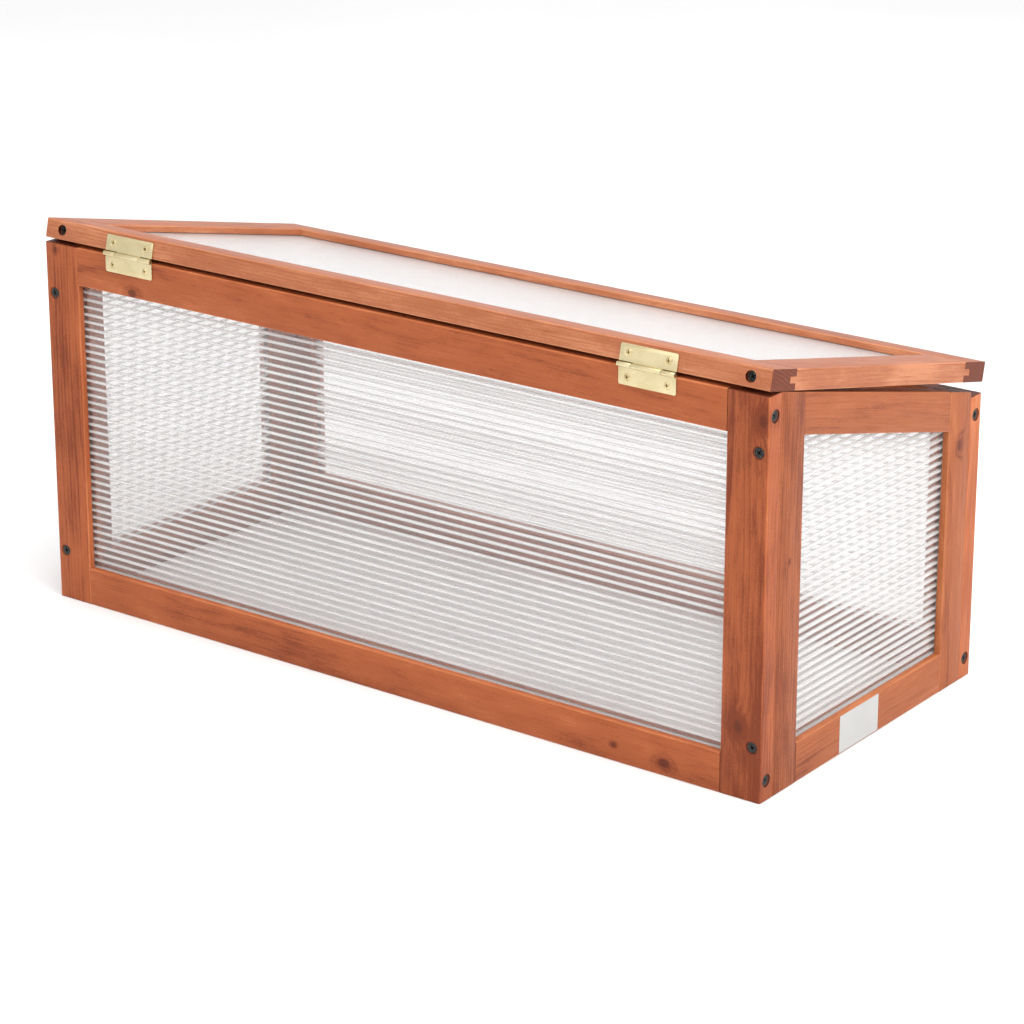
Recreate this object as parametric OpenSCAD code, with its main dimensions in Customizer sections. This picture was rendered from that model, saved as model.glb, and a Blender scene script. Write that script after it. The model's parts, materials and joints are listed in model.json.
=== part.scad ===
// Cold frame: a low box of five grooved softwood frames glazed with twin-wall sheet.
// The rear wall is the high one and carries the lid on two butt hinges.
// Millimetres, +Z up, X along the box, the low front towards -Y, the hinges towards +Y.
// The origin is the middle of the ground that the box covers. Left and right are the
// sides seen by a person who stands in front of the box.

/* [Box] */
// Length of the box, along X
box_l = 700; // [500:5:900]
// Depth of the box from its front face to its rear face, along Y
box_d = 308; // [240:2:420]
// Height of the rear wall
rear_h = 310; // [260:5:420]
// Height of the front wall
front_h = 235; // [200:5:255]

/* [Wood] */
// Thickness of all the stock
stock_t = 16; // [14:0.5:20]
// Width of the rails
rail_w = 32; // [28:1:38]
// Width of the stiles in the front and rear walls
stile_w = 35; // [30:1:42]
// Width of the stiles in the two side walls
side_stile_w = 32; // [28:1:38]
// Width of the groove that holds the sheet and the tongues
groove_w = 5; // [4.5:0.1:6]
// Depth of that groove
groove_d = 8; // [6:0.5:9]

/* [Sheet] */
// Thickness of the twin-wall sheet
sheet_t = 4; // [3.5:0.1:4.2]
// Distance from one rib of the sheet to the next
rib_pitch = 6.3; // [5:0.1:8]
// Thickness of the sheet's two skins and its ribs
skin_t = 0.5; // [0.4:0.05:0.8]

/* [Lid] */
// Depth of the lid from its rear edge to its front edge, along its slope
lid_d = 316; // [300:1:320]
// Width of the short rails at the ends of the lid
lid_end_w = 35; // [30:1:42]
// Slope of the lid as it lies closed, in degrees
lid_slope = 12.85; // [12:0.05:13.5]
// Gap between the underside of the lid and the inner top edge of the rear wall
lid_rest_gap = 0.2; // [0.1:0.05:1]

/* [Hinges] */
// Length of a hinge
hinge_l = 50; // [40:1:60]
// Height of each leaf, from the pin's axis to the leaf's free edge
leaf_h = 15.5; // [14.5:0.1:16]
// Thickness of the leaves
leaf_t = 1.1; // [0.8:0.1:1.2]
// Outside diameter of the knuckles
knuckle_d = 4; // [3.6:0.1:4.4]
// Diameter of the pin
pin_d = 1.9; // [1.6:0.1:2]
// Length of the middle knuckle, which belongs to the lid's leaf
middle_knuckle_l = 26; // [20:1:30]
// Distance from the left end of the box to the middle of the left hinge
left_hinge_in = 103; // [70:1:160]
// Distance from the right end of the box to the middle of the right hinge
right_hinge_in = 93; // [70:1:160]

/* [Screws] */
// Diameter of the black screws' shanks
screw_d = 3.9; // [3.5:0.1:4.5]
// Diameter of the black screws' heads
screw_head_d = 8.2; // [7.5:0.1:8.6]
// Length of the screws that join rails to stiles
rail_screw_l = 50; // [46:1:58]
// Length of the screws that join the walls at the corners
corner_screw_l = 36; // [30:1:38]
// Distance of the corner screws from the top and bottom of each wall
corner_screw_in = 42.5; // [40:0.5:50]
// Diameter of the brass screws' shanks
brass_screw_d = 2.9; // [2.5:0.1:3]
// Diameter of the brass screws' heads
brass_head_d = 5.6; // [5:0.1:6]
// Length of the brass screws
brass_screw_l = 12; // [10:1:13]

/* [Label] */
// Width of the blank label on the left wall's bottom rail
label_w = 56; // [40:1:80]
// Height of the label
label_h = 30; // [20:1:31]
// Distance of the label's middle behind the middle of the box
label_y = 16; // [-60:1:60]

/* [Hidden] */
$fn = 48;

rear_stain = [0.69, 0.37, 0.25];
side_stain = [0.80, 0.50, 0.36];
lid_stain = [0.82, 0.55, 0.42];
clear_sheet = [0.90, 0.90, 0.89, 0.6];
milky_sheet = [0.95, 0.95, 0.95];
brass = [0.86, 0.77, 0.52];
black_steel = [0.12, 0.12, 0.13];
label_white = [0.95, 0.95, 0.94];

eps = 0.01;
// How far the tongues and the sheets stop short of the bottom of their groove
tongue_gap = 0.5;
sheet_gap = 1;
tongue_l = groove_d - tongue_gap;
tongue_t = groove_w - 0.1;
// Clearance around screws, and how far each kind of screw head is sunk below its surface
screw_play = 0.05;
wall_rail_sink = 1;
lid_rail_sink = 3;
corner_screw_sink = 0.6;
brass_screw_sink = 0.05;
// Widest part of a countersink's mouth beyond the head that sits in it
mouth_play = 1.2;
// A screw's point: its length, and its radius at the very end
tip_l = 4;
tip_r = 0.3;
// A cross recess, as shares of the head's diameter
recess_l = 0.56;
recess_w = 0.13;
recess_d = 0.18;
// Thickness of the label, and its distance below the rail's top edge
label_t = 0.15;
label_down = 1;

// The side walls' top edge runs from the rear wall's inner top edge to the front face
wall_slope = (rear_h - front_h) / (box_d - stock_t);
side_front_h = rear_h - wall_slope * (box_d - 2 * stock_t);
side_front_y = stock_t - box_d / 2;

// The pin stands a knuckle's radius off the rear face, in the gap below the lid
knuckle_r = knuckle_d / 2;
knuckle_gap = 0.3;
leaf_notch = 0.4;
bore_play = 0.05;
pin_y = box_d / 2 + knuckle_r;
// Height of the lid's lower rear corner above the rear wall. The pin lies half way up it, the
// lid's rear edge touches the knuckles, and the underside clears the wall by lid_rest_gap.
rear_gap = (lid_rest_gap + (stock_t + knuckle_r - knuckle_r / cos(lid_slope)) * tan(lid_slope))
    / (1 + pow(tan(lid_slope), 2) / 2);
pin_z = rear_h + rear_gap / 2;
lid_corner_z = rear_h + rear_gap;
lid_corner_y = pin_y - (knuckle_r + rear_gap / 2 * sin(lid_slope)) / cos(lid_slope);
// Where a leaf's two screws are: below the pin's axis, and to each side of its middle
hinge_screw_z = 9.3;
hinge_screw_x = 17.3;
// The pin's head, its two diameters as shares of the pin's own
pin_head_h = 1.2;
pin_head_wide = 1.7;
pin_head_narrow = 1.2;
left_hinge_x = left_hinge_in - box_l / 2;
right_hinge_x = box_l / 2 - right_hinge_in;

// A frame: [width across the stiles, height of its near stile, height of its far stile,
// stile width, rail width, sink of its rail screws]. It lies flat with its stiles along Y and
// its thickness upward.
rear_frame = [box_l, rear_h, rear_h, stile_w, rail_w, wall_rail_sink];
front_frame = [box_l, front_h, front_h, stile_w, rail_w, wall_rail_sink];
side_frame = [box_d - 2 * stock_t, side_front_h, rear_h, side_stile_w, rail_w, wall_rail_sink];
lid_frame = [lid_d, box_l, box_l, rail_w, lid_end_w, lid_rail_sink];

// A screw: [shank diameter, head diameter, length]
rail_screw = [screw_d, screw_head_d, rail_screw_l];
corner_screw = [screw_d, screw_head_d, corner_screw_l];
brass_screw = [brass_screw_d, brass_head_d, brass_screw_l];

// Height of a frame's top edge at distance u from its near side
function top_at(f, u) = f[1] + (f[2] - f[1]) * u / f[0];

// The strip of a frame between u0 and u1, from a height of low to drop below the top edge
function strip(f, u0, u1, low, drop) =
    [[u0, low], [u1, low], [u1, top_at(f, u1) - drop], [u0, top_at(f, u0) - drop]];

// The strip under a frame's top edge, between two depths below that edge
function hanging(f, u0, u1, deep, drop) =
    [[u0, top_at(f, u0) - deep], [u1, top_at(f, u1) - deep],
     [u1, top_at(f, u1) - drop], [u0, top_at(f, u0) - drop]];

// A level strip between u0 and u1, from a height of low to a height of high
function level(u0, u1, low, high) = [[u0, low], [u1, low], [u1, high], [u0, high]];

// A slab of an outline, centred in the thickness of the stock
module core(outline, thickness)
    translate([0, 0, (stock_t - thickness) / 2]) linear_extrude(thickness) polygon(outline);

// ---- Screws ----

// Outline of half a screw, its head's flat face at 0 and its point downward
function screw_outline(s, play) =
    let (shank = s[0] / 2 + play, head = s[1] / 2 + play, head_deep = (s[1] - s[0]) / 2)
    [[0, 0], [head, 0], [shank, -head_deep], [shank, tip_l - s[2]],
     [tip_r + play, -s[2] - play], [0, -s[2] - play]];

module screw(s)
    difference() {
        rotate_extrude() polygon(screw_outline(s, 0));
        for (turn = [0, 90])
            rotate(turn) scale(s[1]) cube([recess_l, recess_w, 2 * recess_d], center = true);
    }

// The hole for a screw whose head lies this far below the surface
module screw_hole(s, sink) {
    translate([0, 0, -sink]) rotate_extrude() polygon(screw_outline(s, screw_play));
    translate([0, 0, -sink - eps]) cylinder(d = s[1] + mouth_play, h = sink + 1);
}

module sunk_screw(s, sink) translate([0, 0, -sink]) screw(s);

// Puts its child at each of the four places where a stile's edge is screwed to a rail's end
module at_rail_screws(f)
    for (far = [false, true]) {
        joint = far ? f[0] - f[3] : f[3];
        for (v = [f[4] / 2, top_at(f, joint) - f[4] / 2])
            translate([far ? f[0] : 0, v, stock_t / 2]) rotate([0, far ? 90 : -90, 0]) children();
    }

module rail_screws(f) at_rail_screws(f) sunk_screw(rail_screw, f[5]);

module rail_screw_holes(f) at_rail_screws(f) screw_hole(rail_screw, f[5]);

// ---- Pieces of one frame ----

// A stile, grooved along its inner edge for its whole length
module stile(f, far) {
    u0 = far ? f[0] - f[3] : 0;
    groove_u = far ? u0 - eps : f[3] - groove_d;
    difference() {
        linear_extrude(stock_t) polygon(strip(f, u0, u0 + f[3], 0, 0));
        core(strip(f, groove_u, groove_u + groove_d + eps, -1, -1), groove_w);
        rail_screw_holes(f);
    }
}

// A rail between the stiles, with a tongue at each end and a groove along its inner edge
module bottom_rail(f) {
    u0 = f[3];
    u1 = f[0] - f[3];
    groove_low = f[4] - groove_d;
    difference() {
        union() {
            linear_extrude(stock_t) polygon(level(u0, u1, 0, f[4]));
            core(level(u0 - tongue_l, u1 + tongue_l, 0, groove_low), tongue_t);
        }
        core(level(0, f[0], groove_low, f[4] + 1), groove_w);
        rail_screw_holes(f);
    }
}

// The same rail under a top edge that may slope
module top_rail(f) {
    u0 = f[3];
    u1 = f[0] - f[3];
    groove_deep = f[4] - groove_d;
    difference() {
        union() {
            linear_extrude(stock_t) polygon(hanging(f, u0, u1, f[4], 0));
            core(hanging(f, u0 - tongue_l, u1 + tongue_l, groove_deep, 0), tongue_t);
        }
        core(hanging(f, 0, f[0], f[4] + 1, groove_deep), groove_w);
        rail_screw_holes(f);
    }
}

// Twin-wall sheet in a frame's grooves. Its cells run across the stiles, or along them.
module sheet(f, along_stiles) {
    edge_in = groove_d - sheet_gap;
    u0 = f[3] - edge_in;
    u1 = f[0] - u0;
    low = f[4] - edge_in;
    height = max(f[1], f[2]);
    span = along_stiles ? u1 - u0 : height - 2 * low;
    cell_w = rib_pitch - skin_t;
    cell_h = sheet_t - 2 * skin_t;
    cell = along_stiles ? [cell_w, height, cell_h] : [f[0], cell_w, cell_h];
    start = along_stiles ? [u0 + skin_t, 0] : [0, low + skin_t];
    step = along_stiles ? [rib_pitch, 0] : [0, rib_pitch];
    difference() {
        core(strip(f, u0, u1, low, low), sheet_t);
        for (i = [0 : floor((span - 2 * skin_t) / rib_pitch) - 1])
            translate(concat(start + i * step, (stock_t - cell_h) / 2)) cube(cell);
    }
}

// ---- Where each frame stands ----

module on_rear() translate([-box_l / 2, box_d / 2, 0]) rotate([90, 0, 0]) children();

module on_front() translate([-box_l / 2, stock_t - box_d / 2, 0]) rotate([90, 0, 0]) children();

module on_left() translate([-box_l / 2, side_front_y, 0]) rotate([90, 0, 90]) children();

module on_right() translate([box_l / 2 - stock_t, side_front_y, 0]) rotate([90, 0, 90]) children();

module on_lid()
    translate([-box_l / 2, lid_corner_y, lid_corner_z])
        rotate([lid_slope, 0, 0]) rotate([0, 0, -90]) children();

// Puts its child at the corner screws of the rear wall, or of the front wall
module at_corner_screws(front) {
    y = front ? -box_d / 2 : box_d / 2;
    wall_h = front ? front_h : rear_h;
    for (x = [stock_t / 2 - box_l / 2, box_l / 2 - stock_t / 2])
        for (z = [corner_screw_in, wall_h - corner_screw_in])
            translate([x, y, z]) rotate([front ? 90 : -90, 0, 0]) children();
}

module corner_screws(front) at_corner_screws(front) sunk_screw(corner_screw, corner_screw_sink);

// Drills its child for the corner screws of the rear wall, or of the front wall
module drilled(front)
    difference() {
        children();
        at_corner_screws(front) screw_hole(corner_screw, corner_screw_sink);
    }

// ---- Hinges: the pin's axis along X through the origin, the frame's leaf downward ----

// One leaf: a plate against the wood, with rolled knuckles at its ends or in its middle
module leaf(middle) {
    split = middle_knuckle_l / 2;
    knuckles = middle ? [[-split + knuckle_gap / 2, split - knuckle_gap / 2]]
                      : [[-hinge_l / 2, -split - knuckle_gap / 2], [split + knuckle_gap / 2, hinge_l / 2]];
    difference() {
        union() {
            translate([-hinge_l / 2, -knuckle_r, -leaf_h])
                cube([hinge_l, leaf_t, leaf_h - knuckle_r - leaf_notch]);
            for (k = knuckles) {
                translate([k[0], -knuckle_r, -knuckle_r - leaf_notch - eps])
                    cube([k[1] - k[0], leaf_t, knuckle_r + leaf_notch + eps]);
                translate([k[0], 0, 0]) rotate([0, 90, 0]) cylinder(r = knuckle_r, h = k[1] - k[0]);
            }
        }
        translate([-hinge_l, 0, 0]) rotate([0, 90, 0]) cylinder(r = pin_d / 2 + bore_play, h = 2 * hinge_l);
        at_leaf_screws() screw_hole(brass_screw, brass_screw_sink);
    }
}

module at_leaf_screws()
    for (x = [-hinge_screw_x, hinge_screw_x])
        translate([x, leaf_t - knuckle_r, -hinge_screw_z]) rotate([-90, 0, 0]) children();

// Turns a leaf that hangs on the rear wall into the one that stands on the lid's rear edge
module on_lid_edge() rotate([lid_slope, 0, 0]) mirror([0, 0, 1]) children();

module hinge_pin()
    rotate([0, 90, 0]) {
        translate([0, 0, -hinge_l / 2]) cylinder(d = pin_d, h = hinge_l + eps);
        translate([0, 0, hinge_l / 2])
            cylinder(d1 = pin_head_wide * pin_d, d2 = pin_head_narrow * pin_d, h = pin_head_h);
    }

module at_left_hinge() translate([left_hinge_x, pin_y, pin_z]) children();

module at_right_hinge() translate([right_hinge_x, pin_y, pin_z]) children();

module leaf_screws() at_leaf_screws() sunk_screw(brass_screw, brass_screw_sink);

module leaf_screw_holes() at_leaf_screws() screw_hole(brass_screw, brass_screw_sink);

// ---- Rear wall ----

module rear_left_stile() color(rear_stain) drilled(false) on_rear() stile(rear_frame, false);
module rear_right_stile() color(rear_stain) drilled(false) on_rear() stile(rear_frame, true);
module rear_bottom_rail() color(rear_stain) on_rear() bottom_rail(rear_frame);
module rear_sheet() color(clear_sheet) on_rear() sheet(rear_frame, false);

module rear_top_rail()
    color(rear_stain) difference() {
        on_rear() top_rail(rear_frame);
        at_left_hinge() leaf_screw_holes();
        at_right_hinge() leaf_screw_holes();
    }

// ---- Front wall ----

module front_left_stile() color(rear_stain) drilled(true) on_front() stile(front_frame, false);
module front_right_stile() color(rear_stain) drilled(true) on_front() stile(front_frame, true);
module front_top_rail() color(rear_stain) on_front() top_rail(front_frame);
module front_bottom_rail() color(rear_stain) on_front() bottom_rail(front_frame);
module front_sheet() color(clear_sheet) on_front() sheet(front_frame, false);

// ---- Side walls ----

module left_front_stile() color(side_stain) drilled(true) on_left() stile(side_frame, false);
module left_rear_stile() color(side_stain) drilled(false) on_left() stile(side_frame, true);
module left_top_rail() color(side_stain) on_left() top_rail(side_frame);
module left_bottom_rail() color(side_stain) on_left() bottom_rail(side_frame);
module left_sheet() color(clear_sheet) on_left() sheet(side_frame, false);
module right_front_stile() color(side_stain) drilled(true) on_right() stile(side_frame, false);
module right_rear_stile() color(side_stain) drilled(false) on_right() stile(side_frame, true);
module right_top_rail() color(side_stain) on_right() top_rail(side_frame);
module right_bottom_rail() color(side_stain) on_right() bottom_rail(side_frame);
module right_sheet() color(clear_sheet) on_right() sheet(side_frame, false);

// ---- Lid ----

module lid_front_rail() color(lid_stain) on_lid() stile(lid_frame, true);
module lid_left_rail() color(lid_stain) on_lid() bottom_rail(lid_frame);
module lid_right_rail() color(lid_stain) on_lid() top_rail(lid_frame);
module lid_sheet() color(milky_sheet) on_lid() sheet(lid_frame, true);

module lid_rear_rail()
    color(lid_stain) difference() {
        on_lid() stile(lid_frame, false);
        at_left_hinge() on_lid_edge() leaf_screw_holes();
        at_right_hinge() on_lid_edge() leaf_screw_holes();
    }

// ---- Hinges, screws and label ----

module left_hinge_frame_leaf() color(brass) at_left_hinge() leaf(false);
module left_hinge_lid_leaf() color(brass) at_left_hinge() on_lid_edge() leaf(true);
module left_hinge_pin() color(brass) at_left_hinge() hinge_pin();
module right_hinge_frame_leaf() color(brass) at_right_hinge() leaf(false);
module right_hinge_lid_leaf() color(brass) at_right_hinge() on_lid_edge() leaf(true);
module right_hinge_pin() color(brass) at_right_hinge() hinge_pin();

module rear_rail_screws() color(black_steel) on_rear() rail_screws(rear_frame);
module front_rail_screws() color(black_steel) on_front() rail_screws(front_frame);
module left_rail_screws() color(black_steel) on_left() rail_screws(side_frame);
module right_rail_screws() color(black_steel) on_right() rail_screws(side_frame);
module lid_rail_screws() color(black_steel) on_lid() rail_screws(lid_frame);
module rear_corner_screws() color(black_steel) corner_screws(false);
module front_corner_screws() color(black_steel) corner_screws(true);

module left_hinge_frame_screws() color(brass) at_left_hinge() leaf_screws();
module left_hinge_lid_screws() color(brass) at_left_hinge() on_lid_edge() leaf_screws();
module right_hinge_frame_screws() color(brass) at_right_hinge() leaf_screws();
module right_hinge_lid_screws() color(brass) at_right_hinge() on_lid_edge() leaf_screws();

module label()
    color(label_white)
        translate([-box_l / 2 - label_t, label_y - label_w / 2, rail_w - label_down - label_h])
            cube([label_t, label_w, label_h]);

rear_left_stile();
rear_right_stile();
rear_top_rail();
rear_bottom_rail();
rear_sheet();
front_left_stile();
front_right_stile();
front_top_rail();
front_bottom_rail();
front_sheet();
left_front_stile();
left_rear_stile();
left_top_rail();
left_bottom_rail();
left_sheet();
right_front_stile();
right_rear_stile();
right_top_rail();
right_bottom_rail();
right_sheet();
lid_rear_rail();
lid_front_rail();
lid_left_rail();
lid_right_rail();
lid_sheet();
left_hinge_frame_leaf();
left_hinge_lid_leaf();
left_hinge_pin();
right_hinge_frame_leaf();
right_hinge_lid_leaf();
right_hinge_pin();
rear_rail_screws();
front_rail_screws();
left_rail_screws();
right_rail_screws();
lid_rail_screws();
rear_corner_screws();
front_corner_screws();
left_hinge_frame_screws();
left_hinge_lid_screws();
right_hinge_frame_screws();
right_hinge_lid_screws();
label();
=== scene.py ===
"""Finished look of the cold frame: stained boards, twin-wall glazing, brass hinges, black screws."""

import json
import logging
import math
import random
from dataclasses import dataclass, field
from enum import Enum
from functools import reduce
from typing import Callable, Iterable, Optional, Sequence, Union

import bmesh
import bpy
from mathutils import Matrix, Vector


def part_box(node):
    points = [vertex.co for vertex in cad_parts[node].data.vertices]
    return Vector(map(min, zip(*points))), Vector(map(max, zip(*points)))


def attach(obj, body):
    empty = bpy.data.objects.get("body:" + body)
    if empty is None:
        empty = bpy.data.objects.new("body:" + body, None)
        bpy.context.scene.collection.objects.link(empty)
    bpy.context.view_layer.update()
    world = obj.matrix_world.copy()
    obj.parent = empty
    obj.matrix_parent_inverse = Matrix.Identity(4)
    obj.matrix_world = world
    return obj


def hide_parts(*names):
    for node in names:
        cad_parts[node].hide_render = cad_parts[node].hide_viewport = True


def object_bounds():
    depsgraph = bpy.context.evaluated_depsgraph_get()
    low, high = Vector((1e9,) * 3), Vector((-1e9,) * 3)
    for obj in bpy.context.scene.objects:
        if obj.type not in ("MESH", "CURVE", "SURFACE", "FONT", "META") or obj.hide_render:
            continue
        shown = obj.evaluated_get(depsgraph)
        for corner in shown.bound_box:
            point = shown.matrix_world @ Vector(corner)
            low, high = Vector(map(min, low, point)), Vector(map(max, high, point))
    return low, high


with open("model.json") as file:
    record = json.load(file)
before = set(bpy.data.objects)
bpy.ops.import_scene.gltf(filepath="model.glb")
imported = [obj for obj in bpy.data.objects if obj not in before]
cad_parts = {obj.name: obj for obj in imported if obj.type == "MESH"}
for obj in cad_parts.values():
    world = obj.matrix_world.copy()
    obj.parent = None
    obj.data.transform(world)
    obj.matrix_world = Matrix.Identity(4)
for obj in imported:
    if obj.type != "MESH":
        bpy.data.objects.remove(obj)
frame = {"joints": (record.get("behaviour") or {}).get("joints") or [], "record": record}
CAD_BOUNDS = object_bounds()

LOG = logging.getLogger("cold_frame")

Colour = tuple[float, float, float]
Point = tuple[float, float]
Outline = list[Point]
Piece = bpy.types.Object
Mesh = bmesh.types.BMesh
Material = bpy.types.Material
Socket = bpy.types.NodeSocket
Value = Union[float, Sequence[float], Socket]
FaceValue = Callable[[bpy.types.MeshPolygon], float]

# No turn and no shift
HOME = Matrix.Identity(4)


# ---- Shader graphs ----


class Graph:
    """One material's shader nodes, added and joined in short calls."""

    def __init__(self, name: str) -> None:
        """Starts an empty material.

        Args:
            name: the material's name.
        """
        self.material = bpy.data.materials.new(name)
        self.material.use_nodes = True
        self.tree = self.material.node_tree
        self.tree.nodes.clear()

    def add(self, kind: str, **settings: object) -> bpy.types.Node:
        """Adds a node.

        Args:
            kind: the node's type without its ShaderNode prefix.
            settings: properties to set on it.

        Returns:
            The node.
        """
        node = self.tree.nodes.new("ShaderNode" + kind)
        for key, value in settings.items():
            setattr(node, key, value)
        return node

    def put(self, node: bpy.types.Node, socket: Union[str, int], value: Value) -> None:
        """Links a socket of a node, or sets it where the value is plain.

        Args:
            node: the node that takes the value.
            socket: the input's name or number.
            value: an output socket, a number or a tuple.
        """
        target = node.inputs[socket]
        if isinstance(value, bpy.types.NodeSocket):
            self.tree.links.new(value, target)
        elif target.type == "RGBA" and len(value) == 3:
            target.default_value = (*value, 1.0)
        else:
            target.default_value = value

    def attribute(self, name: str, output: str = "Vector") -> Socket:
        """Returns a mesh attribute's socket."""
        return self.add("Attribute", attribute_name=name).outputs[output]

    def place(self) -> Socket:
        """Returns the place in the object's frame."""
        return self.add("TexCoord").outputs["Object"]

    def math(self, operation: str, a: Value, b: Value = 0.0) -> Socket:
        """Joins two numbers.

        Args:
            operation: the Math node's operation.
            a: the first number.
            b: the second number, if the operation has one.

        Returns:
            The result's socket.
        """
        node = self.add("Math", operation=operation)
        self.put(node, 0, a)
        if len(node.inputs) > 1 and node.inputs[1].enabled:
            self.put(node, 1, b)
        return node.outputs[0]

    def total(self, *terms: Value) -> Socket:
        """Returns the sum of numbers."""
        return reduce(lambda a, b: self.math("ADD", a, b), terms)

    def product(self, *factors: Value) -> Socket:
        """Returns the product of numbers."""
        return reduce(lambda a, b: self.math("MULTIPLY", a, b), factors)

    def times(self, vector: Value, factors: Sequence[float]) -> Socket:
        """Returns a vector multiplied by constant factors."""
        node = self.add("VectorMath", operation="MULTIPLY")
        self.put(node, 0, vector)
        self.put(node, 1, factors)
        return node.outputs[0]

    def length(self, vector: Value) -> Socket:
        """Returns a vector's length."""
        node = self.add("VectorMath", operation="LENGTH")
        self.put(node, 0, vector)
        return node.outputs["Value"]

    def axes(self, vector: Value) -> tuple[Socket, Socket, Socket]:
        """Returns a vector's three components."""
        node = self.add("SeparateXYZ")
        self.put(node, 0, vector)
        return node.outputs[0], node.outputs[1], node.outputs[2]

    def noise(self, vector: Value, factors: Sequence[float], detail: float = 2.0) -> Socket:
        """Smooth noise.

        Args:
            vector: where it is read.
            factors: its frequency along each axis, per metre.
            detail: how many finer layers it has.

        Returns:
            A value about 0.5.
        """
        node = self.add("TexNoise")
        self.put(node, "Vector", self.times(vector, factors))
        self.put(node, "Scale", 1.0)
        self.put(node, "Detail", detail)
        return node.outputs["Fac"]

    def swing(self, value: Socket, amount: float) -> Socket:
        """Returns a noise value turned into a swing of this amount about zero."""
        return self.product(self.math("SUBTRACT", value, 0.5), amount)

    def fade(self, value: Value, start: float, end: float, low: float = 0.0, high: float = 1.0) -> Socket:
        """Maps a range smoothly onto another.

        Args:
            value: the number to map.
            start: where the result is low.
            end: where the result is high.
            low: the result at and before start.
            high: the result at and after end.

        Returns:
            The result's socket.
        """
        node = self.add("MapRange", interpolation_type="SMOOTHSTEP")
        for socket, number in zip(range(5), (value, start, end, low, high)):
            self.put(node, socket, number)
        return node.outputs[0]

    def blend(self, share: Value, a: Value, b: Value, mode: str = "MIX") -> Socket:
        """Blends two colours.

        Args:
            share: how much of b there is.
            a: the first colour.
            b: the second colour.
            mode: the blend type.

        Returns:
            The colour's socket.
        """
        node = self.add("Mix", data_type="RGBA", blend_type=mode)
        self.put(node, 0, share)
        self.put(node, 6, a)
        self.put(node, 7, b)
        return node.outputs[2]

    def bump(self, height: Value, distance: float, strength: float) -> Socket:
        """Returns the normal of a surface with this height over it."""
        node = self.add("Bump")
        self.put(node, "Height", height)
        self.put(node, "Distance", distance)
        self.put(node, "Strength", strength)
        return node.outputs[0]

    def shader(self, kind: str, **values: Value) -> Socket:
        """Adds a shader.

        Args:
            kind: its node type.
            values: its inputs, with _ for each space in their names.

        Returns:
            The shader's socket.
        """
        node = self.add(kind)
        for key, value in values.items():
            self.put(node, key.replace("_", " "), value)
        return node.outputs[0]

    def layer(self, share: Value, under: Socket, over: Socket) -> Socket:
        """Returns two shaders mixed, with this share of the second."""
        node = self.add("MixShader")
        self.put(node, 0, share)
        self.put(node, 1, under)
        self.put(node, 2, over)
        return node.outputs[0]

    def finish(self, surface: Socket) -> Material:
        """Returns the material with this shader as its surface."""
        self.put(self.add("OutputMaterial"), "Surface", surface)
        return self.material

    def solid(self, **values: Value) -> Material:
        """Returns the material of an opaque surface with these shader inputs."""
        return self.finish(self.shader("BsdfPrincipled", **values))


# ---- Finishes ----


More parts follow.
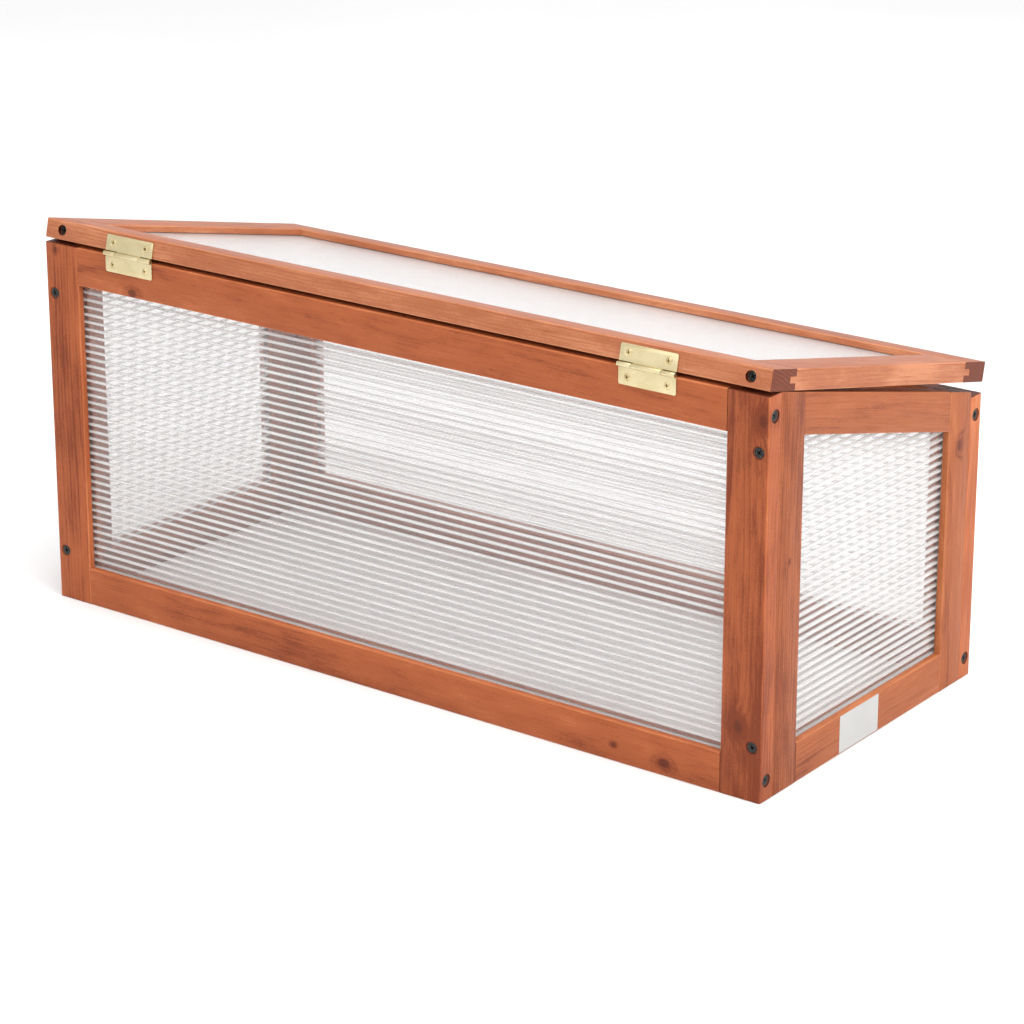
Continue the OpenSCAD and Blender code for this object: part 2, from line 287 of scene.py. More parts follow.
@dataclass(frozen=True)
class StainedWood:
    """A reddish-brown stain and satin varnish over sawn softwood."""

    name: str
    light: Colour
    middle: Colour
    dark: Colour
    end: Colour = (0.145, 0.032, 0.013)
    knot: Colour = (0.090, 0.020, 0.009)
    ring_pitch: float = 0.0027
    knot_stretch: float = 0.72
    knot_falloff: float = 0.16
    knot_push: float = 1.5

    def knot_distance(self, graph: Graph, which: str) -> tuple[Socket, Socket]:
        """Distance from one of a board's knots.

        Args:
            graph: the material's graph.
            which: the attribute that holds the knot's place.

        Returns:
            The distance in knot radii with a ragged edge, and how far it pushes the rings away.
        """
        offset = graph.attribute(which)
        ragged = graph.swing(graph.noise(graph.attribute("grain"), (260, 420, 420)), 0.5)
        plain = graph.length(graph.times(offset, (self.knot_stretch, 1.0, 0.0)))
        radius = graph.axes(offset)[2]
        spread = graph.math("EXPONENT", graph.product(plain, plain, -self.knot_falloff))
        return graph.total(plain, ragged), graph.product(spread, radius, self.knot_push)

    def rings(self, graph: Graph, grain: Socket, push: Socket) -> tuple[Socket, Socket]:
        """The growth rings.

        Args:
            graph: the material's graph.
            grain: the place within the log.
            push: how far knots push the rings away.

        Returns:
            The dark latewood lines, and the same with each ring's own strength.
        """
        radius = graph.length(graph.times(grain, (0.0, 1.0, 1.0)))
        drift = graph.swing(graph.noise(grain, (2.4, 16, 16)), 0.020)
        sway = graph.swing(graph.noise(grain, (11, 60, 60)), 0.0026)
        wandering = graph.total(graph.total(radius, drift), graph.total(sway, push))
        phase = graph.math("DIVIDE", wandering, self.ring_pitch)
        share = graph.math("FRACT", phase)
        late = graph.product(graph.fade(share, 0.35, 0.9), graph.fade(share, 0.9, 1.0, 1.0, 0.0))
        own = graph.add("TexWhiteNoise", noise_dimensions="1D")
        graph.put(own, "W", graph.math("FLOOR", phase))
        return late, graph.product(late, graph.fade(own.outputs["Value"], 0.0, 1.0, 0.25, 1.0))

    def material(self) -> Material:
        """Returns the material of boards with this finish."""
        graph = Graph(self.name)
        grain = graph.attribute("grain")
        near_a, push_a = self.knot_distance(graph, "knot_a")
        near_b, push_b = self.knot_distance(graph, "knot_b")
        near = graph.math("MINIMUM", near_a, near_b)
        late, line = self.rings(graph, grain, graph.total(push_a, push_b))

        fibre = graph.noise(grain, (26, 950, 950), 3.0)
        fleck = graph.fade(graph.noise(grain, (85, 1500, 1500), 1.0), 0.62, 0.74)
        cloud = graph.noise(grain, (6, 26, 26), 4.0)
        patch = graph.noise(grain, (28, 90, 90), 3.0)
        sand = graph.noise(grain, (900, 1300, 1300), 1.0)
        tone = graph.total(
            # The board's tone, with painted light on its narrow edges.
            graph.attribute("tint", "Fac"),
            graph.swing(cloud, 0.95),
            graph.swing(patch, 0.6),
            graph.swing(fibre, 0.5),
            graph.swing(sand, 0.4),
            graph.product(line, -0.24),
            graph.product(fleck, -0.22),
            graph.fade(near, 0.8, 3.2, -0.3, 0.0),
            # Lighter on the arrises: rubbed stain and a painted highlight.
            graph.product(graph.attribute("arris", "Fac"), 0.26),
        )

        stain = graph.blend(graph.fade(tone, 0.0, 0.5), self.dark, self.middle)
        stain = graph.blend(graph.fade(tone, 0.5, 1.0), stain, self.light)
        heart = graph.fade(graph.math("FRACT", graph.product(near, 2.2)), 0.1, 0.9, 0.62, 0.9)
        stain = graph.blend(graph.product(graph.fade(near, 1.25, 0.6), heart), stain, self.knot)
        end_late = graph.math("SUBTRACT", graph.total(late, graph.swing(patch, 0.9)), 0.55)
        end_line = graph.fade(end_late, 0.2, 0.5, 0.0, 0.4)
        sawn = graph.blend(end_line, graph.blend(cloud, self.end, self.knot), self.middle)
        stain = graph.blend(graph.attribute("end_grain", "Fac"), stain, sawn)
        # Painted shade: the shade attribute darkens the stain towards the end-grain colour in the screw
        # holes.
        shaded = graph.blend(graph.attribute("shade", "Fac"), stain, self.end, "MULTIPLY")

        height = graph.total(fibre, graph.product(line, 0.5))
        height = graph.math("SUBTRACT", height, graph.product(fleck, 0.6))
        gloss = graph.total(graph.fade(fibre, 0.3, 0.7, 0.5, 0.36), graph.swing(patch, 0.16))
        return graph.solid(
            Base_Color=shaded,
            Roughness=gloss,
            IOR=1.42,
            Specular_IOR_Level=0.2,
            Normal=graph.bump(height, 0.0003, 0.3),
        )


class Milk(Enum):
    """How milky a sheet is: the share of light its skins scatter between the ribs."""

    CLEAR = 0.07
    OPAL = 0.74


@dataclass(frozen=True)
class TwinWall:
    """Extruded twin-wall sheet: two skins, with ribs between them."""

    name: str
    milk: Milk
    tint: Colour = (0.97, 0.967, 0.965)
    # line: the grey of the lines along the rib joins, painted shade.
    line: Colour = (0.33, 0.32, 0.32)
    rib_white: Colour = (0.95, 0.945, 0.94)
    rib_haze: float = 0.85
    foot_haze: float = 0.85
    foot_reach: float = 0.085
    line_reach: float = 0.05
    skin_through: Colour = (0.947, 0.944, 0.944)
    mirror_least: float = 0.035
    mirror_most: float = 0.9

    def scattered(self, graph: Graph, colour: Value) -> Socket:
        """Returns light scattered to both sides alike, in this colour."""
        return graph.layer(
            0.5,
            graph.shader("BsdfTranslucent", Color=colour),
            graph.shader("BsdfDiffuse", Color=colour),
        )

    def skin(self) -> Material:
        """Returns the material of the two skins, thicker and hazier where a rib joins them, with painted
        shade lines along the joins.
        """
        graph = Graph(self.name + "_skin")
        place = graph.attribute("cell")
        across = graph.math("FRACT", graph.axes(place)[1])
        away = graph.math("SUBTRACT", 0.5, graph.math("ABSOLUTE", graph.math("SUBTRACT", across, 0.5)))
        uneven = graph.noise(place, (3, 0.9, 0))
        ragged = graph.swing(graph.noise(place, (60, 1.9, 0), 2.0), 0.025)
        edge = graph.total(away, graph.total(ragged, graph.swing(uneven, 0.05)))
        foot = graph.fade(edge, self.foot_reach, self.foot_reach - 0.03)
        haze = graph.fade(foot, 0.0, 1.0, self.milk.value, max(self.foot_haze, self.milk.value))
        streak = graph.fade(graph.noise(place, (9, 1.0, 0)), 0.3, 0.6, 0.35, 1.0)
        # Painted shade: grey lines along the rib joins, broken into streaks.
        line = graph.product(graph.fade(away, self.line_reach, self.line_reach * 0.4), streak)
        share = 1.0 - self.milk.value
        colour = graph.blend(graph.product(line, share), self.tint, self.line)
        ripple = graph.math("COSINE", graph.product(across, math.tau))
        normal = graph.bump(graph.total(ripple, graph.swing(uneven, 0.6)), 0.00012, 0.8)
        through = graph.shader("BsdfTransparent", Color=self.skin_through)
        gloss = graph.shader("BsdfGlossy", Color=(1, 1, 1), Roughness=0.16, Normal=normal)
        facing = graph.add("LayerWeight")
        graph.put(facing, "Normal", normal)
        grazing = graph.math("POWER", facing.outputs["Facing"], 5.0)
        mirror = graph.fade(grazing, 0.0, 1.0, self.mirror_least, self.mirror_most)
        body = graph.layer(haze, through, self.scattered(graph, colour))
        return graph.finish(graph.layer(mirror, body, gloss))

    def rib(self) -> Material:
        """Returns the material of the ribs and of the walls of the cells."""
        graph = Graph(self.name + "_rib")
        uneven = graph.noise(graph.attribute("cell"), (5, 1.3, 0))
        through = graph.shader("BsdfTransparent", Color=(0.99, 0.99, 0.99))
        share = graph.fade(uneven, 0.3, 0.7, self.rib_haze * 0.8, self.rib_haze)
        return graph.finish(graph.layer(share, through, self.scattered(graph, self.rib_white)))

    def lining(self) -> Material:
        """Returns the material of the skins' inner faces, inside the cells."""
        graph = Graph(self.name + "_lining")
        uneven = graph.noise(graph.attribute("cell"), (4, 1.1, 0))
        through = graph.shader("BsdfTransparent", Color=(0.993, 0.993, 0.993))
        share = self.milk.value * 0.2
        haze = graph.fade(uneven, 0.3, 0.7, share * 0.6, share)
        return graph.finish(graph.layer(haze, through, self.scattered(graph, self.tint)))


@dataclass(frozen=True)
class Brass:
    """Pale brass plate, lacquered, with fine marks from rolling."""

    name: str = "brass_plate"
    bright: Colour = (0.67, 0.575, 0.35)
    dull: Colour = (0.60, 0.50, 0.285)

    def material(self) -> Material:
        """Returns the material."""
        graph = Graph(self.name)
        place = graph.place()
        marks = graph.noise(place, (60, 2400, 2400), 2.0)
        stains = graph.noise(place, (60, 60, 60), 2.0)
        colour = graph.blend(graph.fade(stains, 0.35, 0.75), self.bright, self.dull)
        gloss = graph.total(graph.fade(marks, 0.3, 0.7, 0.26, 0.34), graph.swing(stains, 0.06))
        return graph.solid(
            Base_Color=colour,
            Metallic=1.0,
            Roughness=gloss,
            Normal=graph.bump(marks, 0.00004, 0.4),
        )


@dataclass(frozen=True)
class BlackSteel:
    """Phosphated black steel, rubbed a little where a driver sits."""

    name: str = "black_steel"
    black: Colour = (0.014, 0.015, 0.014)
    rubbed: Colour = (0.055, 0.057, 0.052)

    def material(self) -> Material:
        """Returns the material."""
        graph = Graph(self.name)
        place = graph.place()
        patches = graph.noise(place, (900, 900, 900), 3.0)
        colour = graph.blend(graph.fade(patches, 0.42, 0.72), self.black, self.rubbed)
        return graph.solid(
            Base_Color=colour,
            Metallic=0.55,
            Roughness=graph.fade(patches, 0.3, 0.7, 0.5, 0.34),
            Normal=graph.bump(patches, 0.00006, 0.5),
        )


@dataclass(frozen=True)
class BlankPaper:
    """Plain white label paper with a faint tooth."""

    name: str = "blank_paper"
    white: Colour = (0.425, 0.42, 0.41)
    grey: Colour = (0.40, 0.395, 0.385)

    def material(self) -> Material:
        """Returns the material."""
        graph = Graph(self.name)
        place = graph.place()
        tooth = graph.noise(place, (1400, 1400, 1400), 2.0)
        shade = graph.noise(place, (40, 40, 40), 2.0)
        return graph.solid(
            Base_Color=graph.blend(graph.fade(shade, 0.3, 0.8), self.white, self.grey),
            Roughness=graph.fade(tooth, 0.3, 0.7, 0.5, 0.62),
            Normal=graph.bump(tooth, 0.00003, 0.3),
        )


@dataclass(frozen=True)
class PaleFloor:
    """A matt, nearly white studio floor."""

    name: str = "pale_floor"
    white: Colour = (0.80, 0.80, 0.80)
    grey: Colour = (0.78, 0.78, 0.78)

    def material(self) -> Material:
        """Returns the material."""
        graph = Graph(self.name)
        place = graph.place()
        shade = graph.noise(place, (2, 2, 2), 2.0)
        colour = graph.blend(graph.fade(shade, 0.3, 0.7), self.white, self.grey)
        return graph.solid(Base_Color=colour, Roughness=0.85)


# ---- Mesh tools ----


def rectangle(u0: float, v0: float, u1: float, v1: float) -> Outline:
    """Returns a rectangle's corners, counter-clockwise from the least one."""
    return [(u0, v0), (u1, v0), (u1, v1), (u0, v1)]


def prism(outline: Outline, low: float, high: float) -> Mesh:
    """Makes a closed prism.

    Args:
        outline: its corners, counter-clockwise.
        low: where it starts along the third axis.
        high: where it ends.

    Returns:
        The mesh.
    """
    mesh = bmesh.new()
    floor = [mesh.verts.new((u, v, low)) for u, v in outline]
    roof = [mesh.verts.new((u, v, high)) for u, v in outline]
    mesh.faces.new(reversed(floor))
    mesh.faces.new(roof)
    count = len(outline)
    for i in range(count):
        j = (i + 1) % count
        mesh.faces.new((floor[i], floor[j], roof[j], roof[i]))
    return mesh


def lathe(profile: Sequence[Point], sides: int) -> Mesh:
    """Turns a profile about the third axis.

    Args:
        profile: (radius, height) points whose first and last radius are zero, highest first.
        sides: how many sides the turned solid has.

    Returns:
        The closed mesh.
    """
    mesh = bmesh.new()
    rows = []
    for radius, height in profile:
        if radius == 0:
            rows.append([mesh.verts.new((0, 0, height))] * sides)
            continue
        angles = (math.tau * i / sides for i in range(sides))
        rows.append([mesh.verts.new((radius * math.cos(a), radius * math.sin(a), height)) for a in angles])
    for upper, lower in zip(rows, rows[1:]):
        for i in range(sides):
            j = (i + 1) % sides
            corners = dict.fromkeys((upper[i], lower[i], lower[j], upper[j]))
            mesh.faces.new(tuple(corners))
    return mesh


def join(parts: Iterable[tuple[Mesh, Matrix]]) -> Mesh:
    """Puts several meshes into one.

    Args:
        parts: each mesh with its place. They are freed.

    Returns:
        The joined mesh.
    """
    whole = bmesh.new()
    for part, place in parts:
        bmesh.ops.transform(part, matrix=place, verts=part.verts)
        if place.determinant() < 0:
            bmesh.ops.reverse_faces(part, faces=part.faces)
        held = bpy.data.meshes.new("held")
        part.to_mesh(held)
        part.free()
        whole.from_mesh(held)
        bpy.data.meshes.remove(held)
    return whole


def as_object(name: str, mesh: Mesh) -> Piece:
    """Turns a mesh into an object of the scene.

    Args:
        name: the object's name.
        mesh: its mesh, which is freed.

    Returns:
        The object.
    """
    data = bpy.data.meshes.new(name)
    mesh.to_mesh(data)
    mesh.free()
    made = bpy.data.objects.new(name, data)
    bpy.context.scene.collection.objects.link(made)
    return made


class Cut(Enum):
    """What a second solid does to a first."""

    AWAY = "DIFFERENCE"
    ADD = "UNION"


def carve(piece: Piece, tool: Mesh, cut: Cut, crossing: bool = False) -> None:
    """Cuts a solid out of a piece, or adds it.

    Args:
        piece: the piece, whose mesh is changed.
        tool: the solid, which is freed.
        cut: what it does.
        crossing: True where the solid's own parts run through one another.
    """
    other = as_object("tool", tool)
    modifier = piece.modifiers.new("cut", "BOOLEAN")
    modifier.operation = cut.value
    modifier.solver = "EXACT"
    modifier.use_self = crossing
    modifier.object = other
    apply_modifiers(piece)
    bpy.data.objects.remove(other)


def apply_modifiers(piece: Piece) -> None:
    """Replaces a piece's mesh by the one its modifiers give, and drops them."""
    bpy.context.view_layer.update()
    seen = piece.evaluated_get(bpy.context.evaluated_depsgraph_get())
    old = piece.data
    piece.data = bpy.data.meshes.new_from_object(seen)
    piece.modifiers.clear()
    bpy.data.meshes.remove(old)


def smooth_by_angle(piece: Piece, degrees: float) -> None:
    """Shades a piece smooth but for edges sharper than an angle.

    Args:
        piece: the piece.
        degrees: the angle.
    """
    mesh = bmesh.new()
    mesh.from_mesh(piece.data)
    bmesh.ops.dissolve_degenerate(mesh, dist=1e-7, edges=mesh.edges)
    limit = math.radians(degrees)
    for face in mesh.faces:
        face.smooth = True
    for edge in mesh.edges:
        edge.smooth = len(edge.link_faces) == 2 and edge.calc_face_angle(0.0) < limit
    mesh.to_mesh(piece.data)
    mesh.free()


def rounded(corners: Outline, radius: float, steps: int) -> Outline:
    """Rounds an outline's corners.

    Args:
        corners: the corners of a rectangle, counter-clockwise.
        radius: the corner radius.
        steps: the points of each arc, less one.

    Returns:
        The rounded outline.
    """
    middle = sum((Vector(c) for c in corners), Vector((0, 0))) / len(corners)
    made = []
    for corner in corners:
        side = Vector((math.copysign(1, corner[0] - middle.x), math.copysign(1, corner[1] - middle.y)))
        centre = Vector(corner) - side * radius
        start = math.atan2(side.y, side.x) - math.pi / 4
        for i in range(steps + 1):
            angle = start + math.pi / 2 * i / steps
            made.append((centre.x + radius * math.cos(angle), centre.y + radius * math.sin(angle)))
    return made


def write_points(piece: Piece, name: str, value_at: Callable[[Vector], Vector]) -> None:
    """Writes a vector attribute that is worked out from each vertex's place.

    Args:
        piece: the piece.
        name: the attribute's name.
        value_at: gives the vector at a place.
    """
    made = piece.data.attributes.new(name, "FLOAT_VECTOR", "POINT")
    for vertex in piece.data.vertices:
        made.data[vertex.index].vector = value_at(vertex.co)


def write_faces(piece: Piece, name: str, value_of: FaceValue) -> None:
    """Writes a number attribute that is worked out from each face.

    Args:
        piece: the piece.
        name: the attribute's name.
        value_of: gives the number of a face.
    """
    made = piece.data.attributes.new(name, "FLOAT", "FACE")
    for face in piece.data.polygons:
        made.data[face.index].value = value_of(face)


def hand_over(
    piece: Piece, node: str, materials: Sequence[Material], place: Matrix = HOME
) -> Piece:
    """Places and dresses a piece, and makes it stand for a CAD node on that node's body.

    Args:
        piece: the piece.
        node: the CAD node.
        materials: its materials, in the order of its slots.
        place: its place in the object's frame.

    Returns:
        The piece.
    """
    piece.data.transform(place)
    if place.determinant() < 0:
        piece.data.flip_normals()
    for material in materials:
        piece.data.materials.append(material)
    bodies = frame["record"]["behaviour"]["bodies"]
    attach(piece, next(body for body, members in bodies.items() if node in members))
    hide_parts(node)
    LOG.info("%s: %d faces, stands for %s", piece.name, len(piece.data.polygons), node)
    return piece


# ---- Screws ----


@dataclass(frozen=True)
class CountersunkScrew:
    """A countersunk cross-head screw, its head's face at the origin and its point downward."""

    shank_d: float
    head_d: float
    length: float
    pitch: float
    sides: int = 32
    edge: float = 0.00018
    dome: float = 0.00012
    mouth: float = 0.0003
    play: float = 0.00005

    @property
    def head_deep(self) -> float:
        """Depth of the head's cone."""
        return (self.head_d - self.shank_d) / 2

    def solid(self) -> Mesh:
        """Returns the screw, with its thread as ridges; its recess is cut later with the recess() tool."""
        head = self.head_d / 2
        shank = self.shank_d / 2
        core = shank * 0.72
        profile = [(0, self.dome), (head * 0.6, self.dome * 0.7), (head - self.edge, 0), (head, -self.edge)]
        profile.append((core, -self.head_deep - self.edge))
        tip = self.length - 2.2 * self.pitch
        turns = int((tip - self.head_deep * 1.6) / self.pitch)
        for i in range(turns):
            top = -self.head_deep * 1.6 - i * self.pitch
            profile += [(core, top), (shank, top - 0.42 * self.pitch), (core, top - 0.75 * self.pitch)]
        profile += [(core * 0.8, -tip), (0, -self.length)]
        return lathe(profile, self.sides)

    def recess(self) -> Mesh:
        """Returns the cross-shaped tool that cuts the recess, narrower at its bottom."""
        arm = self.head_d * 0.31
        half = self.head_d * 0.07
        deep = self.head_d * 0.26
        blades = []
        for turn in (0, 90):
            blade = prism(rectangle(-arm, -half, arm, half), -deep, 0.001)
            for vertex in blade.verts:
                if vertex.co.z < 0:
                    vertex.co.x *= 0.45
                    vertex.co.y *= 0.6
            blades.append((blade, Matrix.Rotation(math.radians(turn), 4, "Z")))
        return join(blades)

    def hole(self, sink: float) -> Mesh:
        """Returns the tool that drills the screw's hole.

        Args:
            sink: how deep the head lies below the surface.

        Returns:
            The tool, which also opens the surface above a sunk head.
        """
        head = self.head_d / 2 + self.play
        shank = self.shank_d / 2 + self.play
        wide = head + self.mouth
        above = 0.002
        profile = [(0, above), (wide + (above if sink < above else 0), above), (wide, -sink)]
        profile += [(head, -sink - self.play), (shank, -sink - self.head_deep - 0.0002)]
        profile += [(shank, -sink - self.length), (0, -sink - self.length - self.play)]
        return lathe(profile, self.sides)


@dataclass
class ScrewSet:
    """The screws of one CAD node, all alike, sunk to one depth."""

    node: str
    screw: CountersunkScrew
    places: list[Matrix]
    sink: float
    material: Material
    seed: int

    def holes(self, wanted: Callable[[Vector], bool]) -> Optional[Mesh]:
        """Makes the tool that drills some of the holes.

        Args:
            wanted: says whether a screw with its head here is one of them.

        Returns:
            The tool in the object's frame, or None where there is none to drill.
        """
        chosen = [place for place in self.places if wanted(place.translation)]
        return join((self.screw.hole(self.sink), place) for place in chosen) if chosen else None

    def build(self) -> Piece:
        """Returns the set as one finished piece."""
        chance = random.Random(self.seed)
        one = as_object("one_screw", self.screw.solid())
        carve(one, self.screw.recess(), Cut.AWAY, crossing=True)
        parts = []
        for place in self.places:
            mesh = bmesh.new()
            mesh.from_mesh(one.data)
            turn = Matrix.Rotation(chance.uniform(0, math.pi / 2), 4, "Z")
            parts.append((mesh, place @ Matrix.Translation((0, 0, -self.sink)) @ turn))
        piece = as_object(self.node + "_set", join(parts))
        bpy.data.objects.remove(one)
        smooth_by_angle(piece, 32)
        return hand_over(piece, self.node, [self.material])


# ---- Boards and panels ----


class Grain(Enum):
    """Which way a board's grain runs in its panel."""

    ACROSS = "rail"
    ALONG = "stile"


@dataclass(frozen=True)
class Knot:
    """A knot on a board: its place as shares of the board's length and width, and its radius."""

    along: float
    across: float
    radius: float


@dataclass
class Board:
    """One board of a panel, in the panel's own frame: u across, v along, w through it."""

    node: str
    outline: Outline
    grain: Grain
    thickness: float
    finish: Material
    seed: int
    tint: float
    knots: tuple[Knot, ...] = ()
    tongues: tuple[Outline, ...] = ()
    groove: Outline = field(default_factory=list)
    groove_w: float = 0.005
    tongue_play: float = 0.0001
    ease: float = 0.0009
    end_ease: float = 0.0003
    # Painted light: how much lighter the tone is on the board's narrow edges.
    edge_painted_light: float = 0.16

    def direction(self) -> Vector:
        """Returns the way the grain runs, along the board's lower or left edge."""
        first = 0 if self.grain is Grain.ACROSS else 1
        a = Vector(self.outline[first])
        b = Vector(self.outline[first + 1])
        return (b - a).normalized().to_3d()

    def slab(self, outline: Outline, thickness: float) -> Mesh:
        """Returns a slab of an outline, centred in the board's thickness."""
        low = (self.thickness - thickness) / 2
        return prism(outline, low, low + thickness)

    def ease_edges(self, mesh: Mesh, way: Vector) -> None:
        """Rounds the long edges, and the ends a little less.

        Args:
            mesh: the plain board.
            way: the way its grain runs.
        """
        def runs_along(edge: bmesh.types.BMEdge) -> bool:
            """True for a long edge."""
            line = (edge.verts[1].co - edge.verts[0].co).normalized()
            return abs(line.dot(way)) > 0.9

        long_edges = [e for e in mesh.edges if runs_along(e)]
        bmesh.ops.bevel(mesh, geom=long_edges, offset=self.ease, segments=3, profile=0.5, affect="EDGES")
        ends = [e for e in mesh.edges if not runs_along(e) and self.at_end(e, way)]
        bmesh.ops.bevel(mesh, geom=ends, offset=self.end_ease, segments=1, profile=0.5, affect="EDGES")

    def at_end(self, edge: bmesh.types.BMEdge, way: Vector) -> bool:
        """True if an edge bounds an end face."""
        bounds_end = any(abs(face.normal.dot(way)) > 0.7 for face in edge.link_faces)
        return bounds_end and edge.calc_face_angle(0) > 0.5

    def extent(self, way: Vector) -> tuple[float, float]:
        """Returns the outline's least and greatest reach along a direction."""
        reaches = [Vector((*point, 0)).dot(way) for point in self.outline]
        return min(reaches), max(reaches)

    def write_grain(self, piece: Piece, bores: Sequence[tuple[Vector, Vector]]) -> None:
        """Writes where each point lies in the log, and which faces are ends, arrises or bores, with painted
        shade in the bores and painted light on the narrow edges.

        Args:
            piece: the board's piece, still in the panel's frame.
            bores: the axis of each screw hole, as a point on it and its direction.
        """
        chance = random.Random(self.seed)
        way = self.direction()
        side = Vector((-way.y, way.x, 0))
        depth = Vector((0, 0, 1))
        start, stop = self.extent(way)
        left, right = self.extent(side)
        skew = chance.uniform(-0.06, 0.06)
        along, aside = chance.uniform(0, 9), chance.uniform(-0.035, 0.035)
        pith = Vector((along, aside, chance.choice((-1, 1)) * chance.uniform(0.03, 0.07)))

        def in_log(place: Vector) -> Vector:
            """Returns the place within the log."""
            a = place.dot(way) - start
            b = place.dot(side) - (left + right) / 2
            c = place.dot(depth) - self.thickness / 2
            return Vector((a, b + skew * a * 0.3, c)) + pith

        def from_knot(knot: Knot) -> Callable[[Vector], Vector]:
            """Returns what gives the offset from a knot, in knot radii."""
            a = start + knot.along * (stop - start)
            b = left + knot.across * (right - left)

            def offset(place: Vector) -> Vector:
                """Returns the offset, with the radius as its third number."""
                along, across = place.dot(way) - a, place.dot(side) - b
                return Vector((along / knot.radius, across / knot.radius, knot.radius))

            return offset

        def in_bore(face: bpy.types.MeshPolygon) -> bool:
            """True for a face of a screw hole."""
            for point, axis in bores:
                away = face.center - point
                if (away - axis * away.dot(axis)).length < 0.0056 and abs(face.normal.dot(axis)) < 0.95:
                    return True
            return False

        def square(face: bpy.types.MeshPolygon) -> bool:
            """True for a face along one of the board's own three directions."""
            return max(abs(face.normal.dot(d)) for d in (way, side, depth)) > 0.985

        write_points(piece, "grain", in_log)
        far = Knot(50.0, 50.0, 0.004)
        for name, knot in zip(("knot_a", "knot_b"), (*self.knots, far, far)):
            write_points(piece, name, from_knot(knot))
        write_faces(piece, "end_grain", lambda face: float(abs(face.normal.dot(way)) > 0.7))
        # Painted shade in the screw holes: their bore faces get a darkening share of 0.85.
        write_faces(piece, "shade", lambda face: 0.85 if in_bore(face) else 0.0)
        # Arris faces are drawn lighter: rubbed stain and a painted highlight.
        write_faces(piece, "arris", lambda face: 0.0 if square(face) or in_bore(face) else 1.0)
        # The tone: the board's own, plus painted light on its narrow edges.
        lift = self.edge_painted_light
        write_faces(piece, "tint", lambda face: self.tint + lift * float(abs(face.normal.dot(side)) > 0.9))

    def build(self, place: Matrix, screw_sets: Sequence[ScrewSet]) -> Piece:
        """Makes the board.

        Args:
            place: the panel's place in the object's frame.
            screw_sets: the screws that may pass through it.

        Returns:
            The finished piece.
        """
        mesh = prism(self.outline, 0, self.thickness)
        way = self.direction()
        self.ease_edges(mesh, way)
        piece = as_object(self.node + "_board", mesh)
        for tongue in self.tongues:
            carve(piece, self.slab(tongue, self.groove_w - self.tongue_play), Cut.ADD)
        if self.groove:
            carve(piece, self.slab(self.groove, self.groove_w), Cut.AWAY)
        home = place.inverted()
        low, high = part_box(self.node)
        reach = 0.03
        bores = []

        def near(spot: Vector) -> bool:
            """True for a place within reach of the board."""
            return all(low[i] - reach < spot[i] < high[i] + reach for i in range(3))

        for screws in screw_sets:
            tool = screws.holes(near)
            if tool is None:
                continue
            bmesh.ops.transform(tool, matrix=home, verts=tool.verts)
            carve(piece, tool, Cut.AWAY)
            for spot in filter(lambda p: near(p.translation), screws.places):
                local = home @ spot
                bores.append((local.translation, local.to_3x3().col[2].normalized()))
        smooth_by_angle(piece, 35)
        self.write_grain(piece, bores)
        return hand_over(piece, self.node, [self.finish], place)


